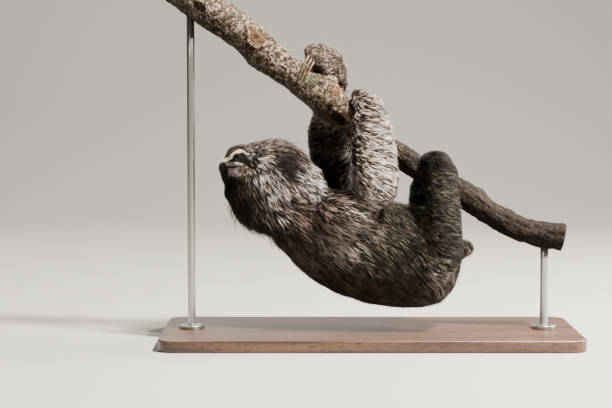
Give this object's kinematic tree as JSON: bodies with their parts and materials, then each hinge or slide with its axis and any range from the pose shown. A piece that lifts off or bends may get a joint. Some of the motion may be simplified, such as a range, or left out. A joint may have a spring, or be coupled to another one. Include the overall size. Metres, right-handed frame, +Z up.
{
  "type": "three-toed sloth",
  "caption": "A young three-toed sloth hanging belly up under a bent branch, its head turned upright, gripping with hooked claws: a life-size still figure on a plain display stand.",
  "frame": {"origin": "the middle of the stand base's underside", "axes": "+X along the base from the animal's head end to its rump, +Y towards the animal's left side, +Z up"},
  "size_m": [0.62, 0.26, 0.5493],
  "materials": {
    "coat": "long coarse grey-brown coat with pale strands and dark underfur",
    "face_coat": "shorter coat, cream brow band, dark eye stripes, brown throat",
    "nose_pad": "moist black skin",
    "eye": "wet, nearly black brown",
    "claw": "tan horn, darker at the edges",
    "bark": "grey mottled bark with ochre scars and green lichen",
    "stand_wood": "dark stained oak, satin varnish",
    "stand_steel": "brushed stainless steel"
  },
  "bodies": {
    "root": {"trunk": "coat", "tail": "coat", "neck": "coat", "head": "face_coat", "nose": "nose_pad", "eye_right": "eye", "ear_right": "coat", "upper_arm_right": "coat", "forearm_right": "coat", "hand_right": "coat", "thigh_right": "coat", "shin_right": "coat", "foot_right": "coat", "hand_right_claw_1": "claw", "hand_right_claw_2": "claw", "hand_right_claw_3": "claw", "foot_right_claw_1": "claw", "foot_right_claw_2": "claw", "foot_right_claw_3": "claw", "eye_left": "eye", "ear_left": "coat", "upper_arm_left": "coat", "forearm_left": "coat", "hand_left": "coat", "thigh_left": "coat", "shin_left": "coat", "foot_left": "coat", "hand_left_claw_1": "claw", "hand_left_claw_2": "claw", "hand_left_claw_3": "claw", "foot_left_claw_1": "claw", "foot_left_claw_2": "claw", "foot_left_claw_3": "claw", "branch": "bark", "stand_base": "stand_wood", "stand_flange_left": "stand_steel", "stand_rod_left": "stand_steel", "stand_flange_right": "stand_steel", "stand_rod_right": "stand_steel"}
  },
  "joints": []
}
